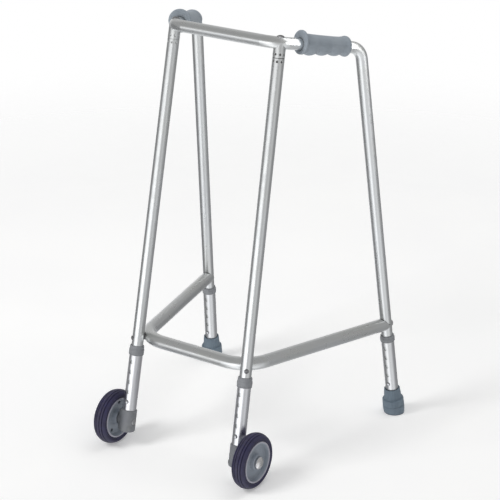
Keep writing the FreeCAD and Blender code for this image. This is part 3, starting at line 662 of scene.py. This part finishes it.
# (radius, height along the leg, fillet)
FERRULE_PROFILE = [
    (0.0, 0.0), (7.4, 0.0, 0.2), (7.6, 1.6, 0.3), (9.8, 1.6, 0.3), (10.0, 0.0, 0.2),
    (13.4, 0.0, 0.2), (13.6, 1.6, 0.3), (15.8, 1.6, 0.3), (16.0, 0.0, 0.2),
    (20.2, 0.0, 1.0), (21.0, 6.0, 3.0), (21.5, 12.0, 2.0), (21.45, 17.6, 0.35),
    (20.7, 18.2, 0.2), (20.7, 19.4, 0.2), (21.4, 20.0, 0.35), (21.2, 26.0, 2.0),
    (20.9, 32.6, 1.3), (17.5, 33.1, 0.9), (17.2, 34.6, 0.8), (15.7, 53.4, 0.8),
    (15.6, 55.3, 0.7), (14.0, 55.5, 0.4), (FERRULE_BORE, 54.4, 0.3),
    (FERRULE_BORE, BORE_FLOOR), (0.0, BORE_FLOOR),
]
RIB_BOTTOM, RIB_TOP = 35.0, 52.5
SLANT_TOP = 16.0            # below this the ferrule leans over to meet the floor flat


def build_ferrule(tag, side):
    x, y, z = basis(REAR_DIR, FORE)

    def shape(angle, radius, height):
        if RIB_BOTTOM < height < RIB_TOP and radius > 15.0:      # fine upright ribs on the cone
            fade = min(1.0, (height - RIB_BOTTOM) / 2.0, (RIB_TOP - height) / 2.0)
            radius += 0.38 * fade * (0.5 + 0.5 * math.cos(24 * angle)) - 0.2 * fade
        in_bore = radius < EXTENSION_R + 0.3 and height > 6.0
        if height < SLANT_TOP and not in_bore:
            outward = x * math.cos(angle) + y * math.sin(angle)
            floor_height = -radius * outward.z / z.z
            height += floor_height * (1.0 - height / SLANT_TOP)
        return radius, height

    profile = [(max(radius, 0.02), height) for radius, height in rounded(FERRULE_PROFILE)]
    profile = subdivide(profile, 1.4)
    verts, faces = lathe(profile, 168, REAR_FOOT, REAR_DIR, FORE, shape)
    points = np.array(verts)
    points[:, 2] = np.maximum(points[:, 2], 0.0)
    make_piece("rear_ferrule_" + tag, points, faces, side, "ferrule", "ferrule_" + tag,
               "rear_foot_" + tag, sharp=38)


# ------------------------------------------------------------------ tyres
# (radius, distance from the middle plane, fillet) of one half, bore to tread
TYRE_HALF = [
    (42.52, 0.0), (42.52, 6.95, 0.3), (39.52, 9.0, 0.3), (39.52, 11.6, 0.2), (40.6, 12.9, 0.6),
    (42.6, 13.3, 0.4), (43.0, 12.75, 0.25), (43.8, 12.8, 0.25), (44.2, 13.55, 0.4),
    (45.4, 13.9, 0.8), (47.6, 13.2, 1.2), (49.6, 11.6, 1.2), (50.9, 9.8, 0.7),
    (51.0, 9.1, 0.35), (49.7, 8.8, 0.3), (49.7, 7.9, 0.3), (51.9, 7.5, 0.4),
    (52.75, 5.2, 0.7), (52.9, 4.2, 0.35), (51.5, 3.9, 0.3), (51.5, 3.1, 0.3),
    (53.3, 2.8, 0.4), (WHEEL_R, 1.4, 0.5), (WHEEL_R, 0.0),
]


def build_tyre(tag, side):
    def shape(angle, radius, height):
        if radius > 46.0:                                    # slightly uneven tread
            spot = Vector((math.cos(angle) * 6, math.sin(angle) * 6, height * 0.12 + 3.0))
            radius += 0.10 * noise.noise(spot) - 0.10
        return radius, height

    other_half = [(radius, -across, *fillet)
                  for radius, across, *fillet in reversed(TYRE_HALF[1:-1])]
    origin = Vector((WHEEL_X, AXLE.y, WHEEL_R))
    profile = rounded(TYRE_HALF + other_half)
    verts, faces = lathe(profile, 240, origin, Vector((1, 0, 0)), UP, shape)
    make_piece("wheel_tyre_" + tag, verts, faces, side, "tyre", "tyre_" + tag,
               "wheel_" + tag, sharp=34)


# ------------------------------------------------------------------ leg collars
COLLAR_R = 14.3
# leg top, leg foot, height of the collar's lower end, collar length
COLLARS = {
    "front": (LEG_TOP, FRONT_FOOT, 183.5, 19.0),
    "rear": (RAIL, REAR_FOOT, 162.0, 13.0),
}


def build_collar(tag, side, which):
    top, foot, bottom_z, length = COLLARS[which]
    step = length * 0.62
    wide_bore, tube_bore = EXTENSION_R + 0.03, TUBE_R + 0.06
    # (radius, height, fillet)
    profile = [
        (wide_bore, 0.0, 0.2), (COLLAR_R - 0.15, 0.0, 0.5), (COLLAR_R, 1.6, 0.3),
        (COLLAR_R - 0.30, 2.1, 0.2), (COLLAR_R - 0.30, 2.8, 0.2), (COLLAR_R, 3.3, 0.3),
        (COLLAR_R, step - 0.6, 0.5), (COLLAR_R - 0.55, step, 0.25),
        (COLLAR_R - 0.75, length - 2.2, 1.2), (COLLAR_R - 1.4, length - 0.5, 0.7),
        (COLLAR_R - 2.2, length, 0.4), (TUBE_R + 0.5, length, 0.3),
        (tube_bore, length - 0.5, 0.2), (tube_bore, length - 3.0, 0.2),
        (wide_bore, length - 3.0, 0.1),
    ]

    def shape(angle, radius, height):
        if radius > 13.9 and 3.8 < height < step - 1.0:      # fine grip flutes
            fade = min(1.0, height - 3.8, step - 1.0 - height)
            radius += 0.14 * max(0.0, math.cos(24 * angle)) * fade
        return radius, height

    origin = at_z(top, foot, bottom_z)
    axis = (top - foot).normalized()
    verts, faces = lathe(subdivide(rounded(profile), 1.2), 144, origin, axis, FORE, shape)
    place = which + "_" + tag
    make_piece("leg_collar_" + place, verts, faces, side, "collar", "collar_" + place,
               "%s_foot_%s" % (which, tag), sharp=38)


for tag, side in (("left", 1), ("right", -1)):
    build_grip(tag, side)
    build_ferrule(tag, side)
    build_tyre(tag, side)
    build_collar(tag, side, "front")
    build_collar(tag, side, "rear")


# ------------------------------------------------------------------ floor
def build_floor(radius=6.0, segments=96):
    """Pale disc that fades out to clear towards its rim."""
    mesh = bpy.data.meshes.new("floor")
    angles = [2 * math.pi * i / segments for i in range(segments)]
    verts = [(0, 0, 0)] + [(radius * math.cos(a), radius * math.sin(a), 0) for a in angles]
    faces = [(0, 1 + i, 1 + (i + 1) % segments) for i in range(segments)]
    mesh.from_pydata(verts, [], faces)
    floor = bpy.data.objects.new("floor", mesh)
    SCENE.collection.objects.link(floor)
    material, tree, position = new_material("pale_floor")
    cloud = tree.noise(position, scale=3.0).ramp(lo=0.3, hi=0.7)
    colour = tree.mix(cloud, (0.90, 0.90, 0.90), (0.92, 0.92, 0.915))
    diffuse = tree.node("BsdfDiffuse", {"Color": colour, "Roughness": 0.9})
    glow = tree.node("Emission", {"Color": (1.0, 1.0, 1.0), "Strength": 0.235})
    lit = tree.node("AddShader", {0: diffuse, 1: glow})
    clear = tree.node("BsdfTransparent")
    fade = tree.vmath("LENGTH", position).ramp(lo=1.1, hi=2.6)
    tree.finish("OutputMaterial", tree.mix_shaders(fade, lit, clear))
    mesh.materials.append(material)
    floor.visible_glossy = False


# ------------------------------------------------------------------ world
def build_world():
    """Soft panels of light around the frame; the camera itself sees plain white."""
    world = bpy.data.worlds.new("studio")
    SCENE.world = world
    tree = Tree(world)
    direction = tree.node("TexCoord", output="Generated")
    x, y, z = tree.split(direction)
    horizontal = tree.math("MAXIMUM", tree.math("SQRT", x * x + y * y), 0.001)

    def facing(azimuth):
        """Cosine of the plan angle to an azimuth; 0 is the front, 90 the left side."""
        angle = math.radians(azimuth)
        return (x * math.sin(angle) + y * -math.cos(angle)) / horizontal

    front = facing(-6.0).ramp(lo=0.73, hi=0.955)
    front = front * z.ramp(lo=-0.48, hi=-0.18, start=0.42, end=1.0)
    front_left = facing(42.0).ramp(lo=0.25, hi=0.88)
    front_left = front_left * z.ramp(lo=-0.18, hi=-0.45, start=1.0, end=1.45)
    back_left = facing(120.0).ramp(lo=0.30, hi=0.90)
    back_right = facing(222.0).ramp(lo=0.70, hi=0.97)
    right = facing(-70.0).ramp(lo=0.88, hi=0.99)
    low = z.ramp(lo=0.22, hi=-0.04)
    high = z.ramp(lo=-0.10, hi=0.22)
    upper_back_right = tuple(Vector((-0.65, 0.62, 0.45)).normalized())
    upper_spot = tree.vmath("DOT_PRODUCT", direction, upper_back_right).ramp(lo=0.78, hi=0.98)
    below = z.ramp(lo=-0.62, hi=-0.9)
    strength = 0.15             # everywhere, before the panels are added
    # (panel, strength)
    for panel, amount in (
            (front * low, 1.34), (front_left * low, 0.42), (back_left * low, 0.16),
            (back_right * low, 0.60), (right * low, 0.10), (high, 0.22),
            (upper_spot, 0.16), (below, 0.22)):
        strength = strength + panel * amount
    colour = tree.mix(z.ramp(lo=-0.3, hi=0.3), (0.97, 0.98, 1.0), (1.0, 1.0, 1.0))
    lighting = tree.node("Background", {"Color": colour, "Strength": strength})
    backdrop = tree.node("Background", {"Color": (1.0, 1.0, 1.0), "Strength": 1.0})
    seen = tree.node("LightPath", output="Is Camera Ray")
    tree.finish("OutputWorld", tree.mix_shaders(seen, lighting, backdrop))


# ------------------------------------------------------------------ lamps
RAIL_SPOT = Vector((0.15, 0.0, 0.785))      # on the left hand rail, in metres


def area_lamp(name, place, rotation, energy, shape, size):
    data = bpy.data.lights.new(name, "AREA")
    data.shape = shape
    data.size = size
    data.energy = energy
    lamp = bpy.data.objects.new(name, data)
    lamp.location = place
    lamp.rotation_mode = "QUATERNION"
    lamp.rotation_quaternion = rotation
    SCENE.collection.objects.link(lamp)
    return lamp


def disc_lamp(name, place, target, size, energy):
    rotation = (Vector(target) - Vector(place)).to_track_quat("-Z", "Y")
    lamp = area_lamp(name, place, rotation, energy, "DISK", size)
    lamp.visible_glossy = False


def strip_lamp(name, place, run, length, width, energy, receivers):
    """Rectangle aimed at the rail, its length as near the run direction as it can be."""
    z = (Vector(place) - RAIL_SPOT).normalized()
    run = Vector(run)
    x = (run - z * run.dot(z)).normalized()
    rotation = Matrix((x, z.cross(x), z)).transposed().to_quaternion()
    lamp = area_lamp(name, place, rotation, energy, "RECTANGLE", length)
    lamp.data.size_y = width
    lamp.light_linking.receiver_collection = receivers


def build_lamps():
    disc_lamp("key", place=(-1.3, -2.6, 2.9), target=(0, 0, 0.35), size=1.6, energy=52.0)
    disc_lamp("top", place=(0.6, 0.9, 3.2), target=(0, 0, 0.3), size=2.2, energy=26.0)
    # soft strips beside and above the left hand rail that light only the top tube
    receivers = bpy.data.collections.new("lit_by_strips")
    receivers.objects.link(NODES["top_tube"])
    strip_lamp("strip_high", place=(0.90, 0.56, 1.40), run=(1.43, -0.56, -0.93),
               length=2.0, width=0.50, energy=6.3, receivers=receivers)
    strip_lamp("strip_low", place=(1.60, 0.36, 0.76), run=(0.05, 0.0, 1.0),
               length=0.72, width=0.80, energy=3.8, receivers=receivers)


# ------------------------------------------------------------------ camera
def build_camera():
    """Long lens looking down from the front left."""
    data = bpy.data.cameras.new("view")
    data.sensor_fit = "HORIZONTAL"
    data.sensor_width = 36.0
    data.lens = 132.54876
    data.shift_x, data.shift_y = 0.007756, -0.001908
    data.clip_start, data.clip_end = 0.05, 60.0
    camera = bpy.data.objects.new("view", data)
    SCENE.collection.objects.link(camera)
    right = (0.82387780, 0.56675646, -0.00353253, 0)
    up = (-0.20867288, 0.30912502, 0.92784554, 0)
    back = (0.52695445, -0.76369420, 0.37294795, 0)
    place = (1.85353757, -2.65952524, 1.67638228, 1)
    camera.matrix_world = Matrix((right, up, back, place)).transposed()
    SCENE.camera = camera


build_floor()
build_world()
build_lamps()
build_camera()

SCENE.view_settings.view_transform = "Standard"
SCENE.view_settings.look = "None"
SCENE.view_settings.exposure = 0.0
SCENE.view_settings.gamma = 1.0
